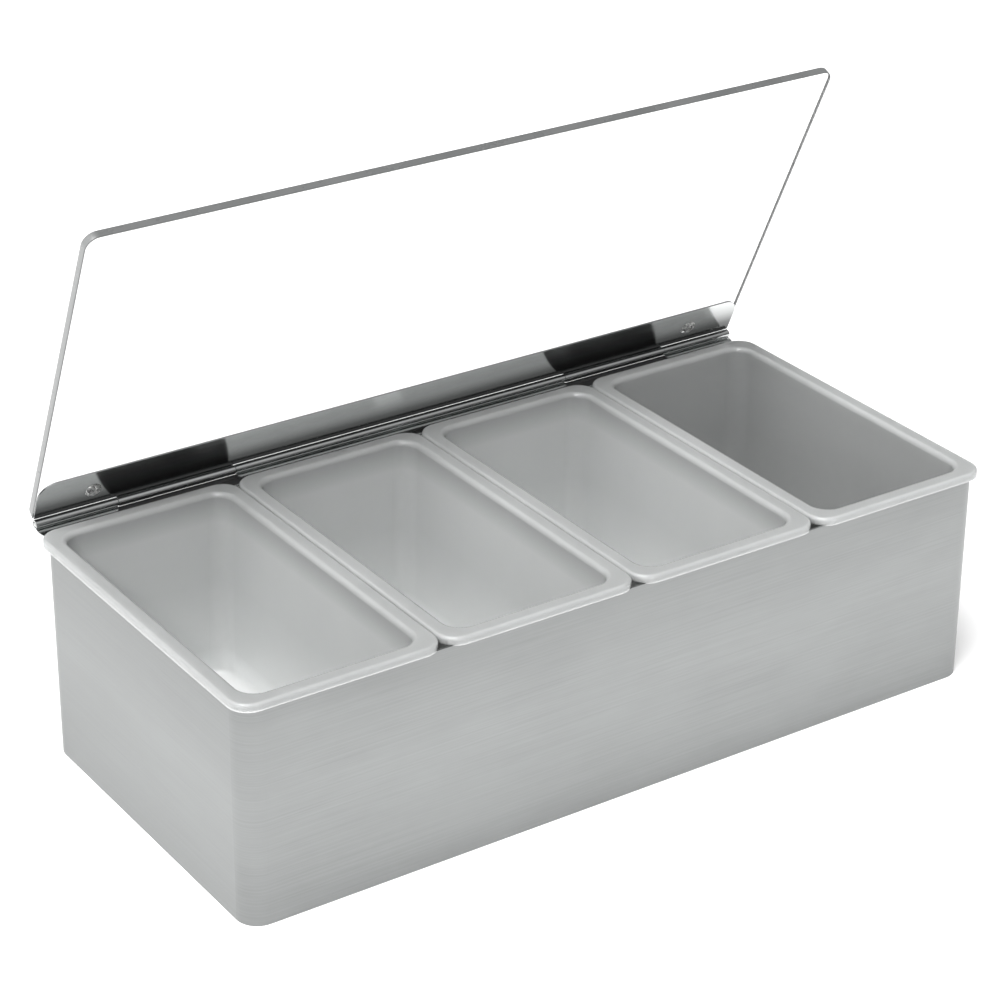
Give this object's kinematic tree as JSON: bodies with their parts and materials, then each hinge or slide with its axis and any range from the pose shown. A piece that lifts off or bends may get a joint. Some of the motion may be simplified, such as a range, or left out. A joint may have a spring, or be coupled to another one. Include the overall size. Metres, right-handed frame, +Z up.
{
  "type": "bar garnish tray",
  "caption": "Brushed steel box with drop-in plastic pans side by side under a hinged clear flat lid that stands open.",
  "frame": {"origin": "centre of the steel box's flat underside", "axes": "+X along the box's length, +Y towards the hinged back, +Z up"},
  "size_m": [0.303, 0.1489, 0.2058],
  "materials": {
    "brushed_steel": "brushed along the walls",
    "polished_steel": "polished",
    "rivet_metal": "satin",
    "clear_lid": "clear, polished edges",
    "milky_plastic": "satin, milky"
  },
  "bodies": {
    "box": {"box_wall": "brushed_steel", "box_base": "brushed_steel", "rear_hinge_leaf": "polished_steel", "hinge_pin": "polished_steel", "insert_1": "milky_plastic", "insert_2": "milky_plastic", "insert_3": "milky_plastic", "insert_4": "milky_plastic"},
    "lid": {"lid_hinge_leaf": "polished_steel", "lid_panel": "clear_lid", "lid_rivet_left": "rivet_metal", "lid_rivet_right": "rivet_metal"}
  },
  "joints": [
    {"name": "lid_hinge", "type": "hinge", "parent": "box", "child": "lid", "pos_m": [0, 0.076, 0.0825], "axis": [1, 0, 0], "range_deg": [-114.5, 65.5]}
  ]
}
